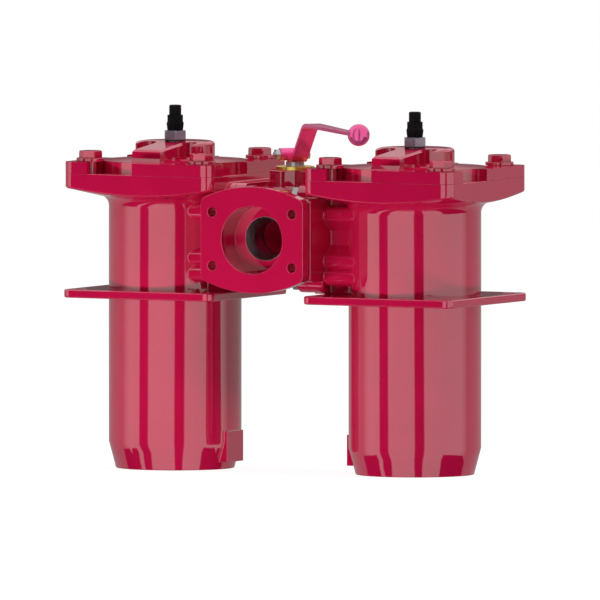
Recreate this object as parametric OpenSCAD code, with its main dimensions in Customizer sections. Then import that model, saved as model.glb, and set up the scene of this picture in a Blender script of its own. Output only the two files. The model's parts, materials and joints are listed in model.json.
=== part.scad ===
/* [Housings] */
// Distance between the two housing axes
housing_pitch = 392; // [384:1:420]
// Outer diameter of a housing
housing_d = 192; // [184:1:196]
// Wall thickness of a housing
housing_wall = 10; // [8:0.5:12]
// Thickness of a housing floor
floor_h = 16; // [12:1:20]
// Height of the cone at the foot of a housing
foot_cone_h = 39; // [30:1:45]
// Radius taken off at the bottom of the foot cone
foot_cone_in = 10.3; // [6:0.1:14]
// Width of the drain pad
pad_w = 50; // [40:1:60]
// Bottom of the drain pad above the base
pad_z = 11; // [6:1:20]
// Height of the drain pad
pad_h = 45; // [35:1:50]
// How far the drain pad stands out from the housing wall
pad_out = 2.5; // [1:0.5:6]

/* [Collar] */
// Side of the square collar
collar_w = 243; // [240:1:248]
// Corner radius of the collar
collar_r = 16; // [10:1:22]
// Height of the collar's top face above the base
collar_top = 428.5; // [424:0.5:440]
// Height of the collar's side at the middle of a face
collar_face_h = 31; // [24:1:34]
// Slope of the collar's underside in degrees
collar_slope = 13; // [8:1:18]
// Radius of the fillet under the collar
collar_fillet = 16; // [10:1:18]

/* [Mounting plates] */
// How far a mounting plate stands out past the collar on each side
plate_over = 0.8; // [0:0.1:3]
// Corner radius of a mounting plate
plate_r = 13.5; // [8:0.5:20]
// Thickness of a mounting plate
plate_t = 12; // [8:1:13]
// Top of a mounting plate above the base
plate_top = 260.5; // [200:0.5:260.5]
// Distance of the plate's corner holes from its edges
plate_hole_edge = 20.3; // [18:0.1:24]
// Diameter of the plate's corner holes
plate_hole_d = 18; // [10:1:20]

/* [Covers] */
// Thickness of the cover's rim
cover_t = 17; // [14:0.5:20]
// Distance between the cover bolts along a side
bolt_pitch = 181; // [178:1:184]
// Radius of the cover inside the open recesses
recess_r = 106.5; // [104:0.5:107]
// Start of a recess along its side, from the middle
recess_start = 81; // [78:1:84]
// End of a recess along its side, from the middle
recess_end = 7; // [4:1:20]
// Height of the cover's cone from rim to drum
cover_cone_h = 3.5; // [2:0.5:5]
// Radius of the centre drum
drum_r = 57.5; // [50:0.5:62]
// Height of the drum above the rim
drum_h = 27.5; // [24:0.5:30]
// Radius of the drum's round shoulder
drum_fillet = 6; // [3:0.5:8]
// Reach of the grip nose from the cover's axis
nose_reach = 90; // [82:1:94]
// Width of the grip nose
nose_w = 46; // [36:1:50]
// Height of the grip nose at its tip above the rim
nose_tip_h = 18.5; // [14:0.5:20]
// Bevel round the nose's front face
nose_bevel = 3; // [1:0.5:4]
// Width of the finger pocket on each side of the nose
pocket_w = 22; // [16:1:24]
// Inner end of the finger pockets, in front of the cover's axis
pocket_end = 8; // [4:1:16]
// Floor of the finger pockets above the rim
pocket_floor = 6; // [4:0.5:10]
// Depth of the spigot that enters the housing
spigot_h = 9; // [6:1:14]

/* [Cover bolts] */
// Shank diameter of a cover bolt
bolt_d = 20; // [16:1:20]
// Width across flats of a cover bolt's head
bolt_af = 30; // [24:1:30]
// Height of a cover bolt's head
bolt_head_h = 10.5; // [8:0.5:13]
// Reach of a cover bolt below the collar's top face
bolt_reach = 22; // [16:1:24]
// Diameter of a cover washer
washer_d = 41; // [36:1:41]
// Thickness of a cover washer
washer_t = 5; // [3:0.5:6]

/* [Valve block] */
// Height of the ports above the base
port_z = 340.6; // [338:0.2:343]
// Distance of a port face from the stem axis
port_face = 134.5; // [134.5:0.5:150]
// Diameter of a port
port_d = 99; // [92:1:100]
// Wall round a port's neck
neck_wall = 7.5; // [6:0.5:8]
// Width of a port flange
flange_w = 167; // [160:1:170]
// Height of a port flange
flange_h = 154; // [148:1:158]
// Straight height of a port flange's sides
flange_side_h = 116; // [108:1:122]
// Corner radius of a port flange
flange_r = 12; // [8:1:16]
// Thickness of a port flange
flange_t = 18; // [14:0.5:18]
// Diameter of the return passages into the rear port
return_d = 36; // [30:1:40]
// Port bolt spacing across
port_bolts_x = 130.2; // [126:0.1:132]
// Port bolt spacing upwards
port_bolts_z = 77.8; // [74:0.1:80]
// Diameter of the port bolt holes
port_hole_d = 14; // [12:0.5:15]
// Distance of the branch joint from the stem axis
split_x = 59.5; // [57:0.5:62]
// Thickness of the valve block's side flanges
side_flange_t = 16; // [14:0.5:18]
// Thickness of the housing branch's flange
branch_flange_t = 26.5; // [20:0.5:30]
// Width of the side flanges from front to back
side_flange_w = 231; // [222:1:231]
// Height of the side flanges at their front and rear ends
side_flange_h = 120; // [112:1:126]
// Square across the side flange's bolt lugs
lug_w = 156; // [150:1:158]
// Corner radius of the bolt lugs
lug_r = 18; // [14:1:20]
// Distance between the side flange's bolts
branch_bolt_pitch = 124; // [122:1:128]
// Shank diameter of a branch bolt
branch_bolt_d = 16; // [12:1:16]
// Width across flats of a branch bolt's head
branch_bolt_af = 24; // [18:1:24]

/* [Branches] */
// Half width of a branch at its waist
waist_y = 52; // [48:1:56]
// Front edge of a branch's ribs from the middle
rib_y = 75; // [70:1:78]
// Radius of a branch's ribs
rib_r = 12; // [9:1:13]
// Heights of a branch's ribs from the port axis, upper one
rib_up = 35.5; // [30:0.5:40]
// Heights of a branch's ribs from the port axis, middle one
rib_mid = 31.5; // [28:0.5:36]
// Heights of a branch's ribs from the port axis, lowest one
rib_low = 54.5; // [50:0.5:58]

/* [Ball and stem] */
// Diameter of the ball
ball_d = 104; // [98:1:104]
// Diameter of the ball's passage
passage_d = 50; // [44:1:54]
// Outer diameter of the front seat
seat_d = 64; // [60:1:70]
// Depth of the front seat below the port face
seat_depth = 42; // [36:1:48]
// Depth of the front seat's cone
seat_cone_h = 15; // [10:1:20]
// Diameter of the stem
stem_d = 26.6; // [22:0.2:28]
// Diameter of the stem's end in the lever's foot
stem_end_d = 14; // [12:1:16]
// Outer diameter of the bonnet
bonnet_d = 74; // [68:1:78]
// Outer diameter of the bonnet's foot
bonnet_foot_d = 86; // [82:1:86]
// Height of the bonnet's foot above the valve block's barrel
bonnet_rise = 1.4; // [0.4:0.2:4]
// Top of the bonnet above the base
bonnet_top = 436; // [434:0.5:438]
// Diameter of the index plate
index_d = 56; // [48:1:62]
// Thickness of the index plate
index_t = 5.5; // [3:0.5:6]

/* [Lever] */
// Direction of the lever at rest, from the X axis
lever_angle = -45; // [-50:1:-40]
// Height of the lever's foot above the base
lever_foot_z = 448; // [446:0.5:450]
// Height of the lever's arm above the base
lever_arm_z = 502; // [500:0.5:510]
// Thickness of the lever bar
lever_t = 5.5; // [4:0.5:6]
// Inner radius of the lever's bends
lever_bend = 26; // [16:1:32]
// Width of the lever bar at its bend
lever_w = 24; // [20:1:26]
// Width of the lever bar at the knob
lever_end_w = 11; // [9:1:14]
// Start of the lever's lower bend from the stem axis
ramp_start = 14; // [12:1:18]
// Slope of the lever's ramp in degrees
ramp_slope = 43; // [38:1:55]
// Fall of the arm from the bend to the knob
arm_fall = 2; // [0:0.5:4]
// Distance of the knob from the stem axis
knob_reach = 312; // [280:1:330]
// Diameter of the knob
knob_d = 32; // [26:1:36]
// Diameter of the clamp barrel on the lever's foot
barrel_d = 18.4; // [15:0.2:19]
// Length of the clamp barrel from the stem axis
barrel_l = 23.4; // [20:0.2:26]

/* [Strainer elements] */
// Outer diameter of a strainer element
element_d = 146; // [130:1:150]
// Height of a strainer element's mesh
mesh_h = 300; // [240:5:320]
// Number of pleats in the mesh
pleats = 36; // [24:2:48]
// Thickness of the pleated mesh
mesh_t = 2; // [1.5:0.5:2.5]
// Outer diameter of the core tube
core_d = 66; // [56:1:70]
// Rows of holes in the core tube
core_rows = 9; // [6:1:12]
// Thickness of the end caps
cap_h = 12; // [8:1:16]

/* [Clogging indicator] */
// Width across flats of the indicator's base
indicator_af = 30; // [26:1:32]
// Height of the indicator's base
indicator_base_h = 13; // [10:0.5:16]
// Largest diameter of the indicator's body
indicator_d = 25; // [20:0.5:28]
// Height of the indicator's body
indicator_h = 22.5; // [18:0.5:26]
// Diameter of the indicator's cap
indicator_cap_d = 17.5; // [14:0.5:19]
// Height of the indicator's cap
indicator_cap_h = 14.5; // [10:0.5:18]
// Diameter of the indicator's thread
indicator_thread_d = 20; // [16:1:20]

/* [Clearances] */
// Gap between curved faces that move past each other
move_gap = 0.3; // [0.2:0.05:0.5]
// Radial gap of a running fit
run_gap = 0.05; // [0.02:0.01:0.1]
// Gap round a bolt in its slot
slot_gap = 1; // [0.6:0.1:1.2]
// Section diameter of the O-rings
ring_d = 5; // [4:0.5:6]

/* [Hidden] */
$fn = 96;
paint = [0.72, 0.09, 0.27];
pink = [0.92, 0.35, 0.58];
steel = [0.55, 0.54, 0.57];
rubber = [0.09, 0.08, 0.08];
brass = [0.78, 0.66, 0.24];
plastic = [0.07, 0.06, 0.07];
wire = [0.62, 0.62, 0.6];
unit_x = housing_pitch / 2;
housing_r = housing_d / 2;
cavity_r = housing_r - housing_wall;
collar_half = collar_w / 2;
plate_w = collar_w + 2 * plate_over;
plate_hole_pitch = plate_w - 2 * plate_hole_edge;
cover_top = collar_top + cover_t;
bolt_xy = bolt_pitch / 2;
bolt_ring_r = bolt_xy * sqrt(2);
branch_x = split_x + branch_flange_t;
ball_gap = 1;
chamber_r = ball_d / 2 + ball_gap;
barrel_wall = 9;
bonnet_z = port_z + chamber_r + barrel_wall + bonnet_rise;
outlet_web = 10;
outlet_floor = chamber_r + barrel_wall + outlet_web;
port_r = port_d / 2;
neck_r = port_r + neck_wall;
return_r = return_d / 2;
return_rise = 4;
seat_face = port_face - seat_depth;
stem_r = stem_d / 2;
bush_wall = 4;
bush_r = stem_r + bush_wall;
gland_wall = 7;
gland_r = bush_r + gland_wall;
gland_h = 10;
bonnet_foot_h = 4;
ball_top_cut = 6;
tang_t = 12;
tang_w = 24;
tang_h = (ball_d / 2 - ball_top_cut - passage_d / 2) / 2;
stem_foot = port_z + ball_d / 2 - ball_top_cut;
stem_end_gap = 0.2;
stem_end_h = lever_t - stem_end_gap;
ring_r = ring_d / 2;
groove_slack = 0.1;
cover_ring_in = 9;
cover_ring_r = cavity_r + cover_ring_in;
branch_ring_in = 6;
branch_ring_r = chamber_r + branch_ring_in;
seat_boss_r = 40;
seat_boss_h = 10;
element_z = floor_h + seat_boss_h;
mesh_z = element_z + cap_h;
element_r = element_d / 2;
core_wall = 3;
mesh_in = 2;
mesh_gap = 0.5;
crown = cover_top + drum_h;
cone_in = 4;
seal_t = 2;
indicator_z = crown + seal_t;
indicator_waist = 1.2;
indicator_belly_z = indicator_h * 0.45;
indicator_waist_z = indicator_h * 0.6;
indicator_flute_r = 2;
indicator_flute_h = indicator_h * 0.8;
clamp_d = 8;
clamp_nut_af = 14;
clamp_nut_l = 7;
barrel_sink = 4;
barrel_z = lever_foot_z + lever_t + barrel_d / 2 - barrel_sink;
barrel_back = stem_r + slot_gap;
stem_ring_r = 1.7;
stem_ring_step = 10;
stem_ring_z = [bonnet_z + stem_ring_step, bonnet_z + 2 * stem_ring_step];
hex_top_share = 0.54;
hex_slope = 0.35;
branch_head_h = 10;
hole_end = 4;
bolt_end_gap = 2;
rib_shoulder = [rib_r * 0.8, rib_r * 0.6];
rib_web_h = rib_r * 1.9;
seat_inner = passage_d * 0.4;
seat_lip = 0.5;
knob_grip = knob_d * 0.45;
foot_bend = 8;
ramp_rise = lever_arm_z - lever_foot_z - lever_bend - foot_bend - lever_t;
ramp_turn = (foot_bend + lever_t + lever_bend + ramp_rise * cos(ramp_slope)) / sin(ramp_slope);
ramp_end = ramp_start + ramp_turn;
far = 400;

// Moves the model so that the inlet flange's face centre is the origin
module placed() {
    translate([0, port_face, -port_z]) children();
}

// One unit's place: side is -1 for the left unit and 1 for the right one
module at_unit(side) {
    placed() translate([side * unit_x, 0, 0]) children();
}

// Turns children so that their +Z points along +X
module along_x() {
    rotate([90, 0, 90]) children();
}

// A cylinder along Y, from y0 to y1
module rod_y(r, y0, y1) {
    translate([0, y0, 0]) rotate([-90, 0, 0]) cylinder(r = r, h = y1 - y0);
}

// A cylinder along X, from x0 to x1
module rod_x(r, x0, x1) {
    translate([x0, 0, 0]) rotate([0, 90, 0]) cylinder(r = r, h = x1 - x0);
}

// A hexagonal prism of the given width across flats
module hex_prism(af, h) {
    cylinder(r = af / sqrt(3), h = h, $fn = 6);
}

// A hexagonal head with a chamfered top
module hex_head(af, h) {
    top_r = af * hex_top_share;
    intersection() {
        hex_prism(af, h);
        cylinder(r1 = top_r + h * hex_slope, r2 = top_r, h = h);
    }
}

// A rectangle with round corners, centred
module round_rect(w, h, r) {
    square([w - 2 * r, h], center = true);
    square([w, h - 2 * r], center = true);
    for (sx = [-1, 1], sy = [-1, 1]) {
        translate([sx * (w / 2 - r), sy * (h / 2 - r)]) circle(r);
    }
}

// An O-ring round the Z axis with its centre plane at z
module o_ring(centre_r, section_r, z) {
    translate([0, 0, z]) rotate_extrude() translate([centre_r, 0]) circle(section_r, $fn = 32);
}

// Children at the four corners of a square
module four_corners(half) {
    for (sx = [-1, 1], sy = [-1, 1]) {
        translate([sx * half, sy * half, 0]) children();
    }
}

// Outline of a port flange: straight sides, round corners, crowned top and bottom
module port_flange_outline() {
    crown_h = (flange_h - flange_side_h) / 2;
    crown_r = (flange_w * flange_w / 4 + crown_h * crown_h) / (2 * crown_h);
    crown_y = flange_h / 2 - crown_r;
    corner_x = flange_w / 2 - flange_r;
    corner_y = crown_y + sqrt(pow(crown_r - flange_r, 2) - corner_x * corner_x);
    touch_x = corner_x * crown_r / (crown_r - flange_r);
    intersection() {
        square([2 * touch_x, flange_h], center = true);
        translate([0, crown_y]) circle(crown_r);
        translate([0, -crown_y]) circle(crown_r);
    }
    square([flange_w, 2 * corner_y], center = true);
    for (sx = [-1, 1], sy = [-1, 1]) {
        translate([sx * corner_x, sy * corner_y]) circle(flange_r);
    }
}

// Outline of a side flange in the Y-Z plane: long plate with four bolt lugs
module side_flange_outline() {
    round_rect(side_flange_w, side_flange_h, lug_r / 2);
    round_rect(lug_w, lug_w, lug_r);
}

// Outline of a branch in the Y-Z plane: waisted core with round ribs front and rear
module branch_outline() {
    rib_cy = rib_y - rib_r;
    core_top = rib_up + 2 * rib_r;
    core_low = port_z - plate_top;
    translate([-waist_y, -core_low]) square([2 * waist_y, core_low + core_top]);
    for (z = [rib_up, -rib_mid, -rib_low]) {
        translate([-rib_cy, z - rib_r]) square([2 * rib_cy, 2 * rib_r]);
        for (sy = [-1, 1]) {
            translate([sy * rib_cy, z]) circle(rib_r);
        }
    }
    for (z = [[rib_up, -1], [-rib_mid, 1]]) {
        polygon([
            [-rib_cy, z[0]],
            [-rib_cy - rib_shoulder[0], z[0] + z[1] * rib_shoulder[1]],
            [-waist_y, z[0] + z[1] * rib_web_h],
            [waist_y, z[0] + z[1] * rib_web_h],
            [rib_cy + rib_shoulder[0], z[0] + z[1] * rib_shoulder[1]],
            [rib_cy, z[0]]
        ]);
    }
}

// The four bolt places of a side flange, in the Y-Z plane
module at_branch_bolts() {
    for (sy = [-1, 1], sz = [-1, 1]) {
        translate([0, sy * branch_bolt_pitch / 2, port_z + sz * branch_bolt_pitch / 2]) children();
    }
}

// Profile of the collar and pot, turned round the unit's axis
module pot_profile() {
    lip_z = collar_top - collar_face_h;
    rise = tan(collar_slope);
    reach = collar_half * sqrt(2);
    fillet_r = housing_r + collar_fillet;
    join_z = lip_z - (collar_half - fillet_r) * rise;
    difference() {
        polygon([
            [0, 0],
            [housing_r - foot_cone_in, 0],
            [housing_r, foot_cone_h],
            [housing_r, join_z - collar_fillet],
            [fillet_r, join_z],
            [reach, lip_z + (reach - collar_half) * rise],
            [reach, collar_top],
            [0, collar_top]
        ]);
        translate([fillet_r, join_z - collar_fillet]) circle(collar_fillet);
    }
}

// A housing: pot with collar, drain pad and side branch
module housing(side) {
    color(paint) at_unit(side) difference() {
        union() {
            intersection() {
                rotate_extrude() pot_profile();
                linear_extrude(collar_top) round_rect(collar_w, collar_w, collar_r);
            }
            mirror([side > 0 ? 1 : 0, 0, 0]) translate([0, -pad_w / 2, pad_z])
                cube([housing_r + pad_out, pad_w, pad_h]);
            mirror([side > 0 ? 0 : 1, 0, 0]) branch();
        }
        translate([0, 0, floor_h]) cylinder(r = cavity_r, h = collar_top);
        mirror([side > 0 ? 0 : 1, 0, 0]) branch_cuts();
        translate([0, 0, collar_top]) four_corners(bolt_xy)
            translate([0, 0, -bolt_reach - hole_end]) cylinder(r = bolt_d / 2 + move_gap, h = far);
        cover_groove();
    }
    color(paint) at_unit(side) translate([0, 0, floor_h]) seat_boss();
}

// Groove for the cover's O-ring in the collar's top face
module cover_groove() {
    translate([0, 0, collar_top - ring_d - groove_slack]) difference() {
        cylinder(r = cover_ring_r + ring_r + groove_slack, h = far);
        cylinder(r = cover_ring_r - ring_r - groove_slack, h = far);
    }
}

// Boss on the housing floor that the element stands on
module seat_boss() {
    difference() {
        cylinder(r = seat_boss_r, h = seat_boss_h);
        translate([0, 0, -1]) cylinder(r = seat_boss_r / 2, h = far);
    }
}

// Branch of the right unit, towards the valve block, in the unit's own place
module branch() {
    translate([split_x - unit_x, 0, port_z]) {
        along_x() linear_extrude(branch_flange_t) side_flange_outline();
        along_x() linear_extrude(unit_x - split_x) branch_outline();
    }
}

// Passage, seal groove and tapped holes of the right unit's branch
module branch_cuts() {
    translate([split_x - unit_x, 0, port_z]) {
        rod_x(passage_d / 2, -1, unit_x - split_x);
        along_x() translate([0, 0, -1]) difference() {
            cylinder(r = branch_ring_r + ring_r + groove_slack, h = ring_d + 1 + groove_slack);
            translate([0, 0, -1]) cylinder(r = branch_ring_r - ring_r - groove_slack, h = far);
        }
    }
    translate([split_x - unit_x, 0, 0]) at_branch_bolts()
        rod_x(branch_bolt_d / 2 + run_gap, -1, branch_flange_t - hole_end);
}

module left_housing() {
    housing(-1);
}

module right_housing() {
    housing(1);
}

module mounting_plate(side) {
    color(paint) at_unit(side) translate([0, 0, plate_top - plate_t]) difference() {
        linear_extrude(plate_t) round_rect(plate_w, plate_w, plate_r);
        translate([0, 0, -1]) cylinder(r = housing_r + run_gap, h = far);
        four_corners(plate_hole_pitch / 2) translate([0, 0, -1]) cylinder(r = plate_hole_d / 2, h = far);
    }
}

module left_mounting_plate() {
    mounting_plate(-1);
}

module right_mounting_plate() {
    mounting_plate(1);
}

// A port flange: side is -1 at the front and 1 at the rear
module port_flange(side) {
    mirror([0, side > 0 ? 1 : 0, 0]) translate([0, -port_face + flange_t, 0]) rotate([90, 0, 0])
        linear_extrude(flange_t) port_flange_outline();
}

// A port's bolt holes: side is -1 at the front and 1 at the rear
module port_holes(side) {
    for (sx = [-1, 1], sz = [-1, 1]) {
        translate([sx * port_bolts_x / 2, 0, sz * port_bolts_z / 2])
            mirror([0, side > 0 ? 1 : 0, 0])
            rod_y(port_hole_d / 2, -port_face - 1, -port_face + flange_t + 1);
    }
}

module valve_body() {
    color(paint) placed() difference() {
        translate([0, 0, port_z]) union() {
            rod_x(chamber_r + barrel_wall, -split_x, split_x);
            for (x = [-split_x, split_x - side_flange_t]) {
                translate([x, 0, 0]) along_x() linear_extrude(side_flange_t) side_flange_outline();
            }
            rod_y(neck_r, -port_face + 1, port_face - 1);
            port_flange(-1);
            port_flange(1);
            cylinder(r = bonnet_foot_d / 2, h = bonnet_z - port_z);
        }
        translate([0, 0, port_z]) {
            rod_x(chamber_r, -far, far);
            rod_y(port_r, -port_face - 1, -seat_face);
            rod_y(seat_d / 2 + run_gap, -far / 4, 0);
            rod_y(port_r, outlet_floor, port_face + 1);
            translate([0, outlet_floor + return_rise + return_r, 0]) rod_x(return_r, -far, far);
            cylinder(r = stem_r + move_gap, h = far);
            port_holes(-1);
            port_holes(1);
        }
        translate([0, 0, bonnet_z - gland_h]) cylinder(r = gland_r + run_gap, h = far);
        at_branch_bolts() rod_x(branch_bolt_d / 2 + slot_gap / 2, -far / 2, far / 2);
    }
}

module branch_seals() {
    color(rubber) placed() translate([0, 0, port_z]) for (side = [-1, 1]) {
        mirror([side > 0 ? 0 : 1, 0, 0]) along_x()
            o_ring(branch_ring_r, ring_r, split_x + ring_r + groove_slack / 2);
    }
}

module branch_bolts() {
    head_x = split_x - side_flange_t;
    color(steel) placed() for (side = [-1, 1]) {
        mirror([side > 0 ? 0 : 1, 0, 0]) at_branch_bolts() {
            rod_x(branch_bolt_d / 2, head_x, branch_x - hole_end - bolt_end_gap);
            translate([head_x - branch_head_h, 0, 0]) along_x() hex_prism(branch_bolt_af, branch_head_h);
        }
    }
}

// A seat ring along -Y, from the given distance in towards the ball
module seat_ring(outer_r, distance) {
    difference() {
        rod_y(outer_r, -distance, -seat_inner);
        rod_y(passage_d / 2, -distance - 1, 0);
        sphere(r = ball_d / 2 + move_gap);
    }
}

module front_seat() {
    color(steel) placed() translate([0, 0, port_z]) difference() {
        seat_ring(seat_d / 2, seat_face);
        rod_x(chamber_r + run_gap, -far, far);
        translate([0, -seat_face, 0]) rotate([-90, 0, 0])
            cylinder(r1 = seat_d / 2 - seat_lip, r2 = passage_d / 2, h = seat_cone_h);
    }
}

module side_seats() {
    color(steel) placed() translate([0, 0, port_z]) for (side = [-1, 1]) {
        rotate(90 * side) difference() {
            seat_ring(chamber_r - run_gap, split_x);
            rod_x(seat_d / 2 + 1, -far, far);
        }
    }
}

module bonnet() {
    foot_r = bonnet_foot_d / 2;
    flare = foot_r - bonnet_d / 2;
    color(paint) placed() difference() {
        union() {
            rotate_extrude() difference() {
                translate([0, bonnet_z]) square([foot_r, bonnet_top - bonnet_z]);
                translate([bonnet_d / 2, bonnet_z + bonnet_foot_h + flare]) square([far, far]);
                translate([foot_r, bonnet_z + bonnet_foot_h + flare]) circle(flare);
            }
            translate([0, 0, bonnet_z - gland_h]) cylinder(r = gland_r, h = gland_h + 1);
        }
        translate([0, 0, bonnet_z - gland_h - 1]) cylinder(r = bush_r + run_gap, h = far);
    }
}

module stem_bush() {
    color(brass) placed() translate([0, 0, bonnet_z - gland_h]) difference() {
        cylinder(r = bush_r, h = bonnet_top - bonnet_z + gland_h);
        translate([0, 0, -1]) cylinder(r = stem_r + run_gap, h = far);
    }
}

module index_plate() {
    color(brass) placed() translate([0, 0, bonnet_top]) difference() {
        cylinder(r = index_d / 2, h = index_t);
        translate([0, 0, -1]) cylinder(r = stem_r + move_gap, h = far);
        for (a = [lever_angle, lever_angle - 90]) {
            rotate(a + 180) translate([index_d / 2, 0, -1]) cylinder(r = index_t / 2, h = far);
        }
    }
}

module cover_seals() {
    color(rubber) for (side = [-1, 1]) {
        at_unit(side) o_ring(cover_ring_r, ring_r, collar_top - ring_r - groove_slack / 2);
    }
}

module bottom_cap(side) {
    color(steel) at_unit(side) translate([0, 0, element_z]) difference() {
        union() {
            cylinder(r = element_r, h = cap_h);
            translate([0, 0, -seat_boss_h / 2]) cylinder(r = seat_boss_r / 2 - ring_d, h = cap_h);
        }
        translate([0, 0, -seat_boss_h]) cylinder(r = seat_boss_r / 2 - ring_d - core_wall, h = far);
    }
}

module element_seal(side) {
    color(rubber) at_unit(side)
        o_ring(seat_boss_r / 2 - ring_r, ring_r - groove_slack, element_z - ring_r);
}

module core(side) {
    row_h = mesh_h / core_rows;
    color(steel) at_unit(side) translate([0, 0, mesh_z]) difference() {
        cylinder(r = core_d / 2, h = mesh_h);
        translate([0, 0, -1]) cylinder(r = core_d / 2 - core_wall, h = far);
        for (row = [0 : core_rows - 1], turn = [0 : 2]) {
            translate([0, 0, (row + 0.5) * row_h]) rotate(60 * turn + 30 * (row % 2))
                rod_y(row_h / 4, -core_d, core_d);
        }
    }
}

// Points of a pleated star between two radii
function star(r_in, r_out) = [
    for (i = [0 : 2 * pleats - 1])
        let (r = i % 2 == 0 ? r_out : r_in, a = i * 180 / pleats) [r * cos(a), r * sin(a)]
];

module mesh(side) {
    outer_r = element_r - mesh_in;
    inner_r = core_d / 2 + mesh_t + mesh_gap;
    color(wire) at_unit(side) translate([0, 0, mesh_z]) linear_extrude(mesh_h) difference() {
        polygon(star(inner_r, outer_r));
        polygon(star(inner_r - mesh_t, outer_r - 3 * mesh_t));
    }
}

module top_cap(side) {
    grip_r = core_d / 2;
    color(steel) at_unit(side) translate([0, 0, mesh_z + mesh_h]) {
        cylinder(r = element_r, h = cap_h);
        translate([0, 0, cap_h]) rotate([90, 0, 0]) translate([0, 0, -cap_h / 4]) linear_extrude(cap_h / 2)
            intersection() {
                difference() {
                    circle(grip_r);
                    circle(grip_r - cap_h / 2);
                }
                translate([-far / 2, 0]) square([far, grip_r]);
            }
    }
}

module left_bottom_cap() {
    bottom_cap(-1);
}

module right_bottom_cap() {
    bottom_cap(1);
}

module left_core() {
    core(-1);
}

module right_core() {
    core(1);
}

module left_mesh() {
    mesh(-1);
}

module right_mesh() {
    mesh(1);
}

module left_top_cap() {
    top_cap(-1);
}

module right_top_cap() {
    top_cap(1);
}

module left_element_seal() {
    element_seal(-1);
}

module right_element_seal() {
    element_seal(1);
}

// The lever's own place: +X along the arm, stem axis at the origin
module at_lever() {
    placed() rotate(lever_angle) children();
}

// Points of an arc from angle a0 to a1 round a centre
function arc(centre, r, a0, a1, steps = 8) = [
    for (i = [0 : steps])
        let (a = a0 + (a1 - a0) * i / steps) centre + r * [cos(a), sin(a)]
];

// Side view of the lever bar: foot, ramp and arm with round bends
module lever_profile() {
    low = [ramp_start, lever_foot_z + foot_bend + lever_t];
    high = [ramp_end, lever_arm_z - lever_bend];
    arm_end = [knob_reach - knob_grip, lever_arm_z - arm_fall];
    polygon(concat(
        [[-lever_w / 2, lever_foot_z]],
        arc(low, foot_bend + lever_t, -90, ramp_slope - 90),
        arc(high, lever_bend, 90 + ramp_slope, 90),
        [arm_end, arm_end + [0, lever_t]],
        arc(high, lever_bend + lever_t, 90, 90 + ramp_slope),
        arc(low, foot_bend, ramp_slope - 90, -90),
        [[-lever_w / 2, lever_foot_z + lever_t]]
    ));
}

// Plan view of the lever bar: round foot, straight bar and tapered arm
module lever_plan() {
    circle(lever_w / 2);
    polygon([
        [0, -lever_w / 2],
        [ramp_end + lever_w, -lever_w / 2],
        [knob_reach, -lever_end_w / 2],
        [knob_reach, lever_end_w / 2],
        [ramp_end + lever_w, lever_w / 2],
        [0, lever_w / 2]
    ]);
}

module lever() {
    color(pink) at_lever() difference() {
        union() {
            intersection() {
                translate([0, far / 2, 0]) rotate([90, 0, 0]) linear_extrude(far) lever_profile();
                linear_extrude(2 * far) lever_plan();
            }
            translate([0, 0, barrel_z]) rod_y(barrel_d / 2, -barrel_l, barrel_back);
        }
        translate([0, 0, barrel_z]) rod_y(clamp_d / 2 + run_gap, -far, far);
        translate([0, 0, lever_foot_z - 1]) cylinder(r = stem_end_d / 2 + run_gap, h = lever_t + 1);
        at_knob() sphere(r = knob_d / 2 - lever_t);
    }
}

// The knob's place on the lever
module at_knob() {
    translate([knob_reach, 0, lever_arm_z - arm_fall + lever_t / 2]) children();
}

module lever_knob() {
    socket_slack = 1;
    socket_w = lever_end_w + 4 * socket_slack;
    color(pink) at_lever() at_knob() difference() {
        sphere(r = knob_d / 2);
        translate([-knob_d, -socket_w / 2, -lever_t / 2 - run_gap])
            cube([knob_d - knob_grip + socket_slack, socket_w, lever_t + 2 * run_gap]);
    }
}

module clamp_bolt() {
    color(steel) at_lever() translate([0, 0, barrel_z]) {
        rod_y(clamp_d / 2, -barrel_l - clamp_nut_l - 2, barrel_back + 1);
        translate([0, -barrel_l, 0]) rotate([90, 0, 0]) hex_prism(clamp_nut_af, clamp_nut_l);
        translate([0, barrel_back, 0]) rotate([-90, 0, 0]) hex_prism(clamp_nut_af, clamp_nut_l);
    }
}

module stem() {
    color(steel) placed() difference() {
        union() {
            translate([0, 0, stem_foot]) cylinder(r = stem_r, h = lever_foot_z - stem_foot);
            translate([0, 0, lever_foot_z - 1]) cylinder(r = stem_end_d / 2, h = stem_end_h + 1);
            rotate(lever_angle) translate([-tang_w / 2, -tang_t / 2, stem_foot - tang_h])
                cube([tang_w, tang_t, tang_h + 1]);
        }
        for (z = stem_ring_z) {
            translate([0, 0, z]) difference() {
                translate([0, 0, -stem_ring_r]) cylinder(r = stem_r + 1, h = 2 * stem_ring_r);
                translate([0, 0, -stem_r]) cylinder(r = stem_r - 2 * stem_ring_r, h = 2 * stem_r);
            }
        }
    }
}

module stem_seals() {
    color(rubber) placed() for (z = stem_ring_z) {
        o_ring(stem_r - stem_ring_r, stem_ring_r - run_gap, z);
    }
}

module valve_ball() {
    slot_z = ball_d / 2 - ball_top_cut - tang_h;
    color(paint) placed() translate([0, 0, port_z]) difference() {
        sphere(r = ball_d / 2);
        sphere(r = passage_d / 2);
        rod_y(passage_d / 2, -ball_d, 0);
        rod_x(passage_d / 2, 0, ball_d);
        translate([-ball_d / 2, -ball_d / 2, ball_d / 2 - ball_top_cut]) cube(ball_d);
        rotate(lever_angle) translate([-ball_d / 2, -tang_t / 2 - run_gap, slot_z])
            cube([ball_d, tang_t + 2 * run_gap, far]);
    }
}

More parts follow.
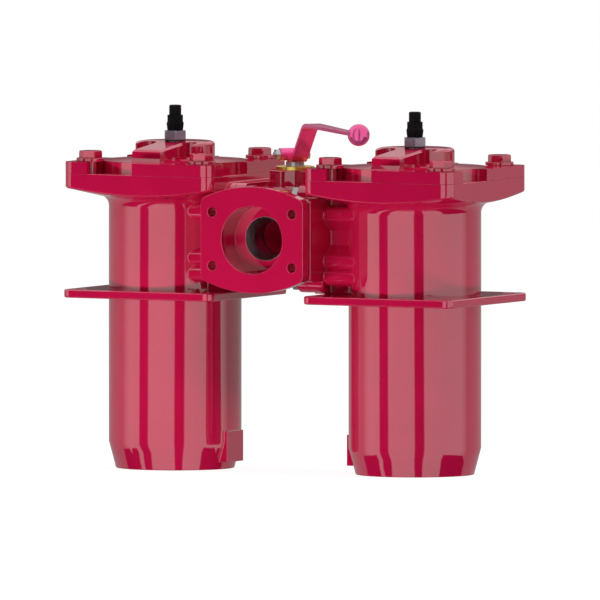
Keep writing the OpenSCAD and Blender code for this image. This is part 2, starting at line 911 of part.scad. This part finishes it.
// Plan of a cover's open recesses and hook slots, repeated on the four sides
module cover_cutouts() {
    slot_r = bolt_d / 2 + slot_gap;
    for (k = [0 : 3]) {
        rotate(90 * k) {
            difference() {
                translate([-recess_start, -far / 2]) square([recess_start - recess_end, far / 2]);
                circle(recess_r);
            }
            translate([-bolt_xy, -bolt_xy]) circle(slot_r);
            intersection() {
                difference() {
                    circle(bolt_ring_r + slot_r);
                    circle(bolt_ring_r - slot_r);
                }
                polygon([[0, 0], [-far / 2, -far / 2], [-recess_end * 8, -far / 2]]);
            }
        }
    }
}

// Side view of the drum and nose: front to the left, sloping roof up to the axis
module roof_profile() {
    polygon([
        [-nose_reach - nose_bevel, 0],
        [-nose_reach, nose_bevel * 2],
        [-nose_reach, nose_tip_h - nose_bevel],
        [-nose_reach + nose_bevel, nose_tip_h],
        [0, drum_h],
        [drum_r + 1, drum_h],
        [drum_r + 1, 0]
    ]);
}

// Half section of the drum with its round shoulder
module drum_profile() {
    square([drum_r - drum_fillet, drum_h]);
    square([drum_r, drum_h - drum_fillet]);
    translate([drum_r - drum_fillet, drum_h - drum_fillet]) intersection() {
        circle(drum_fillet);
        square(drum_fillet);
    }
}

// Finger pockets beside the nose, open to the front and the top
module nose_pockets() {
    round_y = -pocket_end - pocket_w / 2;
    for (sx = [-1, 1]) {
        translate([sx * (nose_w + pocket_w) / 2, round_y, pocket_floor]) {
            cylinder(r = pocket_w / 2, h = far);
            translate([-pocket_w / 2, -far, 0]) cube([pocket_w, far, far]);
        }
    }
}

// Bevels along the nose's roof edges
module nose_bevels() {
    slope = atan((drum_h - nose_tip_h) / (nose_reach - nose_bevel));
    for (sx = [-1, 1]) {
        translate([sx * nose_w / 2, 0, drum_h]) rotate([slope + 90, 0, 0])
            translate([0, 0, pocket_end + pocket_w / 2]) linear_extrude(nose_reach)
            rotate(45) square(nose_bevel * sqrt(2), center = true);
    }
}

// Drum and grip nose under one roof
module crown_form() {
    nose_l = nose_reach + nose_bevel;
    roof_w = 2 * drum_r + 2;
    difference() {
        intersection() {
            union() {
                rotate_extrude() drum_profile();
                translate([-nose_w / 2, -nose_l, 0]) cube([nose_w, nose_l, drum_h]);
            }
            translate([-roof_w / 2, 0, 0]) along_x() linear_extrude(roof_w) roof_profile();
        }
        nose_pockets();
        nose_bevels();
    }
}

module cover(side) {
    color(paint) at_unit(side) difference() {
        union() {
            translate([0, 0, collar_top]) linear_extrude(cover_t) difference() {
                round_rect(collar_w, collar_w, collar_r);
                cover_cutouts();
            }
            translate([0, 0, cover_top]) cylinder(r1 = recess_r - cone_in, r2 = drum_r, h = cover_cone_h);
            translate([0, 0, collar_top - spigot_h]) cylinder(r = cavity_r - move_gap, h = spigot_h + 1);
            translate([0, 0, cover_top]) crown_form();
        }
        translate([0, 0, collar_top - spigot_h - 1]) {
            cylinder(r = indicator_thread_d / 2 + run_gap, h = far);
            cylinder(r = cavity_r - housing_wall, h = spigot_h + 1);
        }
    }
}

module left_cover() {
    cover(-1);
}

module right_cover() {
    cover(1);
}

module indicator_seal(side) {
    color(rubber) at_unit(side) translate([0, 0, crown]) difference() {
        cylinder(r = indicator_af / 2, h = seal_t);
        translate([0, 0, -1]) cylinder(r = indicator_thread_d / 2 + run_gap, h = far);
    }
}

module indicator_base(side) {
    color(steel) at_unit(side) {
        translate([0, 0, indicator_z]) hex_head(indicator_af, indicator_base_h);
        translate([0, 0, collar_top])
            cylinder(r = indicator_thread_d / 2, h = indicator_z - collar_top + 1);
    }
}

module indicator_body(side) {
    r = indicator_d / 2;
    waist_r = r - indicator_waist;
    cap_r = indicator_cap_d / 2;
    top = indicator_h + indicator_cap_h;
    body_z = indicator_z + indicator_base_h;
    color(plastic) at_unit(side) translate([0, 0, body_z]) difference() {
        rotate_extrude() polygon([
            [0, 0],
            [waist_r, 0],
            [r, indicator_belly_z],
            [waist_r, indicator_waist_z],
            [waist_r, indicator_h],
            [cap_r, indicator_h],
            [cap_r, top - indicator_waist],
            [cap_r - indicator_waist, top],
            [0, top]
        ]);
        for (a = [0 : 45 : 315]) {
            rotate(a) translate([r + indicator_flute_r / 3, 0, -1])
                cylinder(r = indicator_flute_r, h = indicator_flute_h);
        }
    }
}

module left_indicator_seal() {
    indicator_seal(-1);
}

module right_indicator_seal() {
    indicator_seal(1);
}

module left_indicator_base() {
    indicator_base(-1);
}

module right_indicator_base() {
    indicator_base(1);
}

module left_indicator_body() {
    indicator_body(-1);
}

module right_indicator_body() {
    indicator_body(1);
}

module cover_bolts(side) {
    head_z = cover_top + washer_t;
    shank_z = collar_top - bolt_reach;
    color(paint) at_unit(side) four_corners(bolt_xy) {
        translate([0, 0, shank_z]) cylinder(r = bolt_d / 2, h = head_z - shank_z + 1);
        translate([0, 0, head_z]) rotate(15) hex_head(bolt_af, bolt_head_h);
    }
}

module cover_washers(side) {
    color(paint) at_unit(side) translate([0, 0, cover_top]) four_corners(bolt_xy) difference() {
        cylinder(r = washer_d / 2, h = washer_t);
        translate([0, 0, -1]) cylinder(r = bolt_d / 2 + run_gap, h = far);
    }
}

module left_cover_bolts() {
    cover_bolts(-1);
}

module right_cover_bolts() {
    cover_bolts(1);
}

module left_cover_washers() {
    cover_washers(-1);
}

module right_cover_washers() {
    cover_washers(1);
}

valve_body();
left_housing();
right_housing();
left_mounting_plate();
right_mounting_plate();
branch_seals();
branch_bolts();
front_seat();
side_seats();
bonnet();
index_plate();
stem_bush();
cover_seals();
left_bottom_cap();
right_bottom_cap();
left_core();
right_core();
left_mesh();
right_mesh();
left_top_cap();
right_top_cap();
left_element_seal();
right_element_seal();
lever();
lever_knob();
clamp_bolt();
stem();
stem_seals();
valve_ball();
left_cover();
right_cover();
left_indicator_seal();
right_indicator_seal();
left_indicator_base();
right_indicator_base();
left_indicator_body();
right_indicator_body();
left_cover_bolts();
right_cover_bolts();
left_cover_washers();
right_cover_washers();
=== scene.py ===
"""Duplex strainer: finishes, softened edges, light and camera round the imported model.

Metres, in the CAD frame: the origin is the inlet flange's face centre, +Z is up.
"""
import json
import math

import bmesh
import bpy
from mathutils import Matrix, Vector


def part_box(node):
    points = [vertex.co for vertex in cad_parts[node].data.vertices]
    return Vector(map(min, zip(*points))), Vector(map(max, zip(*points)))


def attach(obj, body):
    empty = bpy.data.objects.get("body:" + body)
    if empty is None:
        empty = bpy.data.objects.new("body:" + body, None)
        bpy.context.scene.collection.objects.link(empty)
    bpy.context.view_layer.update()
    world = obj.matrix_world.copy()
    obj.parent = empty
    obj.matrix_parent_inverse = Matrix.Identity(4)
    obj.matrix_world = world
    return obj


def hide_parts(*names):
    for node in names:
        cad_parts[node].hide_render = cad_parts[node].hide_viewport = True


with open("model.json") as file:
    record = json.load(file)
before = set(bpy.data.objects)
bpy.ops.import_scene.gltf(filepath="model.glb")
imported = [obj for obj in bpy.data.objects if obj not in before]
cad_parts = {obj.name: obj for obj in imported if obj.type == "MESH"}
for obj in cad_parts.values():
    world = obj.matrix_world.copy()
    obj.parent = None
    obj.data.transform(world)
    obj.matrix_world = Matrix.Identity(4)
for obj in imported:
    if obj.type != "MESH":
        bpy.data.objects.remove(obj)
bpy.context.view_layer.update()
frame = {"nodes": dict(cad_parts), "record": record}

# Camera: a parallel view, as the photograph shows
VIEW_AZIMUTH = math.radians(27.85)
VIEW_ELEVATION = math.radians(3.18)
VIEW_CENTRE = Vector((0.00633, 0.137845, -0.09325))
VIEW_WIDTH = 0.8676
VIEW_DISTANCE = 8.0
VIEW_END = 50.0

# Surroundings: white to the camera. What reflections and diffuse light get from a direction depends on
# its azimuth, in degrees from +X, and on its rise, from -1 straight down to 1 straight up.
AMBIENT_ABOVE = 0.5
AMBIENT_BELOW = 0.2
AMBIENT_RISE = (-0.2, 0.1)
STRIPS = ((-118.5, 8.5), (-54.8, 8.5))  # dark upright strips: centre and half width
STRIP_EDGE = 1.5  # a strip's level turns within this much of its half width
STRIP_LEVEL = 0.0
LOW_PATCHES = ((-154.0, 18.0), (17.0, 27.0))  # dark only below LOW_RISE
LOW_RISE = (-0.31, -0.25)
BELOW_LEVEL = 0.1
BELOW_RISE = (-0.95, -0.7)
BACK_AZIMUTH = math.radians(118)  # the dark side, opposite the camera
BACK_EDGE = (-0.1, 0.5)
BACK_LEVEL = 0.1
BACK_RISE = (0.03, 0.45)
BACK_LOW_LEVEL = 0.4
BACK_LOW_RISE = (-0.02, 0.02)

# Lamps: place from the view's centre, size in metres, power in watts
LIGHTS = {
    "low_front": {"from": (-0.15, -1.0, -0.17), "size": (1.0, 0.12), "power": 6.2},
    "fill": {"from": (3.0, 0.3, -1.5), "size": (2.2, 0.8), "power": 36.0},
    "overhead": {"from": (0.2, 0.3, 3.2), "size": (2.6, 2.6), "power": 60.0},
}

# The fill lamp is lower than the floor, so the floor casts no shadow
FLOOR_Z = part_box("left_housing")[0][2]
FLOOR_SIZE = 12.0
FLOOR_ALBEDO = 0.2
FLOOR_GLOW = 0.92

# Finishes, by material slot: two tones, roughness from and to, scale of clouds and of grain
NOISE_RANGE = (0.3, 0.7)
CLOUD_DETAIL = 3.0
GRAIN_DETAIL = 2.0
GRAIN_DEPTH = 0.0002
FINISHES = {
    "paint": {
        "dark": (0.56, 0.006, 0.060), "light": (0.61, 0.007, 0.070),
        "roughness": (0.03, 0.05), "cloud": 14, "grain": 420, "bump": 0.02, "ior": 1.98},
    "lever_paint": {
        "dark": (0.86, 0.105, 0.32), "light": (0.92, 0.125, 0.36),
        "roughness": (0.18, 0.20), "cloud": 30, "grain": 500, "bump": 0.01, "metallic": 0.65},
    "steel": {
        "dark": (0.42, 0.41, 0.43), "light": (0.56, 0.55, 0.57),
        "roughness": (0.25, 0.42), "cloud": 90, "grain": 900, "bump": 0.2, "metallic": 1.0},
    "indicator_steel": {
        "dark": (0.27, 0.23, 0.29), "light": (0.33, 0.28, 0.35),
        "roughness": (0.25, 0.4), "cloud": 80, "grain": 900, "bump": 0.15, "metallic": 0.6},
    "wire_mesh": {
        "dark": (0.3, 0.3, 0.29), "light": (0.6, 0.6, 0.57),
        "roughness": (0.35, 0.5), "cloud": 60, "grain": 1800, "bump": 0.8, "metallic": 1.0},
    "rubber": {
        "dark": (0.012, 0.012, 0.012), "light": (0.022, 0.021, 0.021),
        "roughness": (0.55, 0.75), "cloud": 80, "grain": 700, "bump": 0.25},
    "brass": {
        "dark": (0.74, 0.56, 0.11), "light": (0.86, 0.67, 0.17),
        "roughness": (0.22, 0.36), "cloud": 60, "grain": 1000, "bump": 0.15, "metallic": 1.0},
    "black_plastic": {
        "dark": (0.004, 0.0035, 0.004), "light": (0.008, 0.007, 0.0075),
        "roughness": (0.3, 0.42), "cloud": 70, "grain": 1300, "bump": 0.15, "ior": 1.15},
}

# Softened edges, by node: radius. All other nodes show their CAD mesh.
EDGE_ANGLE = math.radians(32)
EDGE_SEGMENTS = 3
MERGE_DISTANCE = 1e-6
FLAT_ANGLE = math.radians(0.3)
SMOOTH_ANGLE = math.radians(40)
LIP_RADIUS = 0.0028
LIP_Z = 0.05
LIP_SLOPE = (-0.99, -0.9)
UPRIGHT = 0.02
SOFTENED = {
    "valve_body": 0.0007, "left_housing": 0.0010, "right_housing": 0.0010,
    "left_mounting_plate": 0.0024, "right_mounting_plate": 0.0024,
    "bonnet": 0.0012, "index_plate": 0.0006,
    "left_cover_bolts": 0.0007, "right_cover_bolts": 0.0007,
    "left_cover_washers": 0.0008, "right_cover_washers": 0.0008,
    "left_indicator_base": 0.0005, "right_indicator_base": 0.0005,
    "lever": 0.0007, "clamp_bolt": 0.0005, "stem": 0.0006,
}


class Nodes:
    """A node tree with short ways to add and join nodes."""

    def __init__(self, owner):
        owner.use_nodes = True
        self.tree = owner.node_tree
        self.tree.nodes.clear()

    def add(self, kind, **settings):
        made = self.tree.nodes.new(kind)
        for key, value in settings.items():
            setattr(made, key, value)
        return made

    def join(self, source, target):
        self.tree.links.new(source, target)

    def math(self, operation, *values):
        made = self.add("ShaderNodeMath", operation=operation)
        for socket, value in zip(made.inputs, values):
            if isinstance(value, (int, float)):
                socket.default_value = value
            else:
                self.join(value, socket)
        return made.outputs[0]

    def span(self, value, start, end, low, high):
        """Value from start to end, mapped smoothly to low to high."""
        made = self.add("ShaderNodeMapRange", interpolation_type="SMOOTHSTEP")
        self.join(value, made.inputs["Value"])
        made.inputs["From Min"].default_value = start
        made.inputs["From Max"].default_value = end
        made.inputs["To Min"].default_value = low
        made.inputs["To Max"].default_value = high
        return made.outputs["Result"]

    def noise(self, coords, scale, detail):
        made = self.add("ShaderNodeTexNoise")
        made.inputs["Scale"].default_value = scale
        made.inputs["Detail"].default_value = detail
        self.join(coords, made.inputs["Vector"])
        return made.outputs["Fac"]

    def ramp(self, value, *stops):
        made = self.add("ShaderNodeValToRGB")
        for element, (place, colour) in zip(made.color_ramp.elements, stops):
            element.position = place
            element.color = (*colour, 1.0)
        self.join(value, made.inputs["Fac"])
        return made.outputs["Color"]


def add_camera():
    level = math.cos(VIEW_ELEVATION)
    towards = Vector((
        math.sin(VIEW_AZIMUTH) * level, -math.cos(VIEW_AZIMUTH) * level, math.sin(VIEW_ELEVATION)))
    data = bpy.data.cameras.new("camera")
    data.type = "ORTHO"
    data.ortho_scale = VIEW_WIDTH
    data.clip_end = VIEW_END
    camera = bpy.data.objects.new("camera", data)
    camera.location = VIEW_CENTRE + towards * VIEW_DISTANCE
    camera.rotation_euler = (-towards).to_track_quat("-Z", "Y").to_euler()
    bpy.context.collection.objects.link(camera)
    bpy.context.scene.camera = camera


def upright_strip(nodes, azimuth, centre, half_width):
    """Dark within half a width of the centre's azimuth, 1 outside it."""
    off = nodes.math("ABSOLUTE", nodes.math("SUBTRACT", azimuth, math.radians(centre)))
    inner = math.radians(half_width - STRIP_EDGE)
    outer = math.radians(half_width + STRIP_EDGE)
    return nodes.span(off, inner, outer, STRIP_LEVEL, 1.0)


def dark_back(nodes, x, y, rise):
    """Dark on the side opposite the camera, 1 on the camera's side."""
    behind = nodes.math(
        "ADD", nodes.math("MULTIPLY", x, math.cos(BACK_AZIMUTH)),
        nodes.math("MULTIPLY", y, math.sin(BACK_AZIMUTH)))
    back = nodes.math(
        "MAXIMUM", nodes.span(rise, *BACK_RISE, BACK_LEVEL, 1.0),
        nodes.span(rise, *BACK_LOW_RISE, BACK_LOW_LEVEL, 0.0))
    return nodes.math("MAXIMUM", back, nodes.span(behind, *BACK_EDGE, 1.0, 0.0))


def add_world():
    world = bpy.data.worlds.new("surroundings")
    bpy.context.scene.world = world
    nodes = Nodes(world)
    direction = nodes.add("ShaderNodeSeparateXYZ")
    nodes.join(nodes.add("ShaderNodeTexCoord").outputs["Generated"], direction.inputs[0])
    x, y, rise = direction.outputs
    azimuth = nodes.math("ARCTAN2", y, x)
    level = nodes.span(rise, *BELOW_RISE, BELOW_LEVEL, 1.0)
    for centre, half_width in STRIPS:
        level = nodes.math("MULTIPLY", level, upright_strip(nodes, azimuth, centre, half_width))
    above = nodes.span(rise, *LOW_RISE, 0.0, 1.0)
    for centre, half_width in LOW_PATCHES:
        patch = nodes.math("MAXIMUM", above, upright_strip(nodes, azimuth, centre, half_width))
        level = nodes.math("MULTIPLY", level, patch)
    level = nodes.math("MULTIPLY", level, dark_back(nodes, x, y, rise))
    path = nodes.add("ShaderNodeLightPath").outputs
    seen = nodes.math(
        "MAXIMUM", path["Is Camera Ray"],
        nodes.math("MAXIMUM", path["Is Glossy Ray"], path["Is Transmission Ray"]))
    background = nodes.add("ShaderNodeBackground")
    nodes.join(nodes.math("MAXIMUM", level, path["Is Camera Ray"]), background.inputs["Color"])
    ambient = nodes.span(rise, *AMBIENT_RISE, AMBIENT_BELOW, AMBIENT_ABOVE)
    nodes.join(nodes.math("MAXIMUM", seen, ambient), background.inputs["Strength"])
    nodes.join(background.outputs[0], nodes.add("ShaderNodeOutputWorld").inputs["Surface"])


def add_lights():
    for name, lamp in LIGHTS.items():
        data = bpy.data.lights.new(name, "AREA")
        data.shape = "ELLIPSE"
        data.size, data.size_y = lamp["size"]
        data.energy = lamp["power"]
        light = bpy.data.objects.new(name, data)
        offset = Vector(lamp["from"])
        light.location = VIEW_CENTRE + offset
        light.rotation_euler = (-offset).to_track_quat("-Z", "Y").to_euler()
        light.visible_camera = False
        light.visible_glossy = False
        bpy.context.collection.objects.link(light)


def add_floor_finish():
    """A pale floor that shows shadows and glows to the camera alone."""
    material = bpy.data.materials.new("pale_floor")
    nodes = Nodes(material)
    shade = nodes.add("ShaderNodeBsdfDiffuse")
    shade.inputs["Color"].default_value = (FLOOR_ALBEDO, FLOOR_ALBEDO, FLOOR_ALBEDO, 1.0)
    glow = nodes.add("ShaderNodeEmission")
    path = nodes.add("ShaderNodeLightPath").outputs
    nodes.join(nodes.math("MULTIPLY", path["Is Camera Ray"], FLOOR_GLOW), glow.inputs["Strength"])
    both = nodes.add("ShaderNodeAddShader")
    nodes.join(shade.outputs[0], both.inputs[0])
    nodes.join(glow.outputs[0], both.inputs[1])
    nodes.join(both.outputs[0], nodes.add("ShaderNodeOutputMaterial").inputs["Surface"])
    return material


def add_floor():
    half = FLOOR_SIZE / 2
    corners = [(x, y, FLOOR_Z) for x, y in ((-half, -half), (half, -half), (half, half), (-half, half))]
    mesh = bpy.data.meshes.new("floor")
    mesh.from_pydata(corners, [], [(0, 1, 2, 3)])
    mesh.materials.append(add_floor_finish())
    floor = bpy.data.objects.new("floor", mesh)
    bpy.context.collection.objects.link(floor)
    floor.visible_glossy = False
    floor.visible_shadow = False


def add_finish(slot, dark, light, roughness, cloud, grain, bump, metallic=0.0, ior=1.5):
    """A finish whose colour drifts between two tones and whose surface has a fine grain."""
    material = bpy.data.materials.new(slot)
    nodes = Nodes(material)
    coords = nodes.add("ShaderNodeTexCoord").outputs["Object"]
    drift = nodes.noise(coords, cloud, CLOUD_DETAIL)
    fine = nodes.noise(coords, grain, GRAIN_DETAIL)
    low, high = NOISE_RANGE
    shader = nodes.add("ShaderNodeBsdfPrincipled")
    shader.inputs["Metallic"].default_value = metallic
    shader.inputs["IOR"].default_value = ior
    nodes.join(nodes.ramp(drift, (low, dark), (high, light)), shader.inputs["Base Color"])
    nodes.join(nodes.span(fine, low, high, *roughness), shader.inputs["Roughness"])
    relief = nodes.add("ShaderNodeBump")
    relief.inputs["Strength"].default_value = bump
    relief.inputs["Distance"].default_value = GRAIN_DEPTH
    nodes.join(fine, relief.inputs["Height"])
    nodes.join(relief.outputs["Normal"], shader.inputs["Normal"])
    nodes.join(shader.outputs[0], nodes.add("ShaderNodeOutputMaterial").inputs["Surface"])
    return material


def is_lip(edge):
    """Whether an edge joins an upright face to the sloping underside of a collar."""
    slope, side = sorted(face.normal.z for face in edge.link_faces)
    high = all(vert.co.z > LIP_Z for vert in edge.verts)
    return high and edge.is_convex and LIP_SLOPE[0] < slope < LIP_SLOPE[1] and abs(side) < UPRIGHT


def round_off(form, edges, radius):
    bmesh.ops.bevel(
        form, geom=edges, offset=radius, offset_type="OFFSET", segments=EDGE_SEGMENTS, profile=0.5,
        affect="EDGES", clamp_overlap=False, harden_normals=False)


def softened(name, radius):
    """A copy of a node with its sharp edges rounded off."""
    form = bmesh.new()
    form.from_mesh(frame["nodes"][name].data)
    bmesh.ops.remove_doubles(form, verts=form.verts, dist=MERGE_DISTANCE)
    bmesh.ops.dissolve_limit(
        form, angle_limit=FLAT_ANGLE, verts=form.verts, edges=form.edges, use_dissolve_boundaries=False)
    if name.endswith("_housing"):
        round_off(form, [edge for edge in form.edges if edge.is_manifold and is_lip(edge)], LIP_RADIUS)
    sharp = [edge for edge in form.edges if edge.is_manifold and edge.calc_face_angle() > EDGE_ANGLE]
    round_off(form, sharp, radius)
    mesh = bpy.data.meshes.new(f"{name}_softened")
    form.to_mesh(mesh)
    form.free()
    for attribute in ("custom_normal", "sharp_edge"):
        if attribute in mesh.attributes:
            mesh.attributes.remove(mesh.attributes[attribute])
    mesh.shade_smooth()
    mesh.set_sharp_from_angle(angle=SMOOTH_ANGLE)
    made = bpy.data.objects.new(f"{name}_softened", mesh)
    bpy.context.collection.objects.link(made)
    flat = made.modifiers.new("flat_faces", "WEIGHTED_NORMAL")
    flat.keep_sharp = True
    return made


def dress():
    """Gives each node its finish, and each node with softened edges a copy in its place."""
    finishes = {slot: add_finish(slot, **look) for slot, look in FINISHES.items()}
    slots = {part["node"]: part["material_slot"] for part in frame["record"]["subparts"]}
    bodies = frame["record"]["behaviour"]["bodies"]
    body_of = {node: body for body, members in bodies.items() for node in members}
    for name, node in frame["nodes"].items():
        node.data.materials.clear()
        node.data.materials.append(finishes[slots[name]])
        if name in SOFTENED:
            made = softened(name, SOFTENED[name])
            made.data.materials.clear()
            made.data.materials.append(finishes[slots[name]])
            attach(made, body_of[name])
            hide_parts(name)


bpy.context.scene.view_settings.view_transform = "Standard"
add_camera()
add_world()
add_lights()
add_floor()
dress()
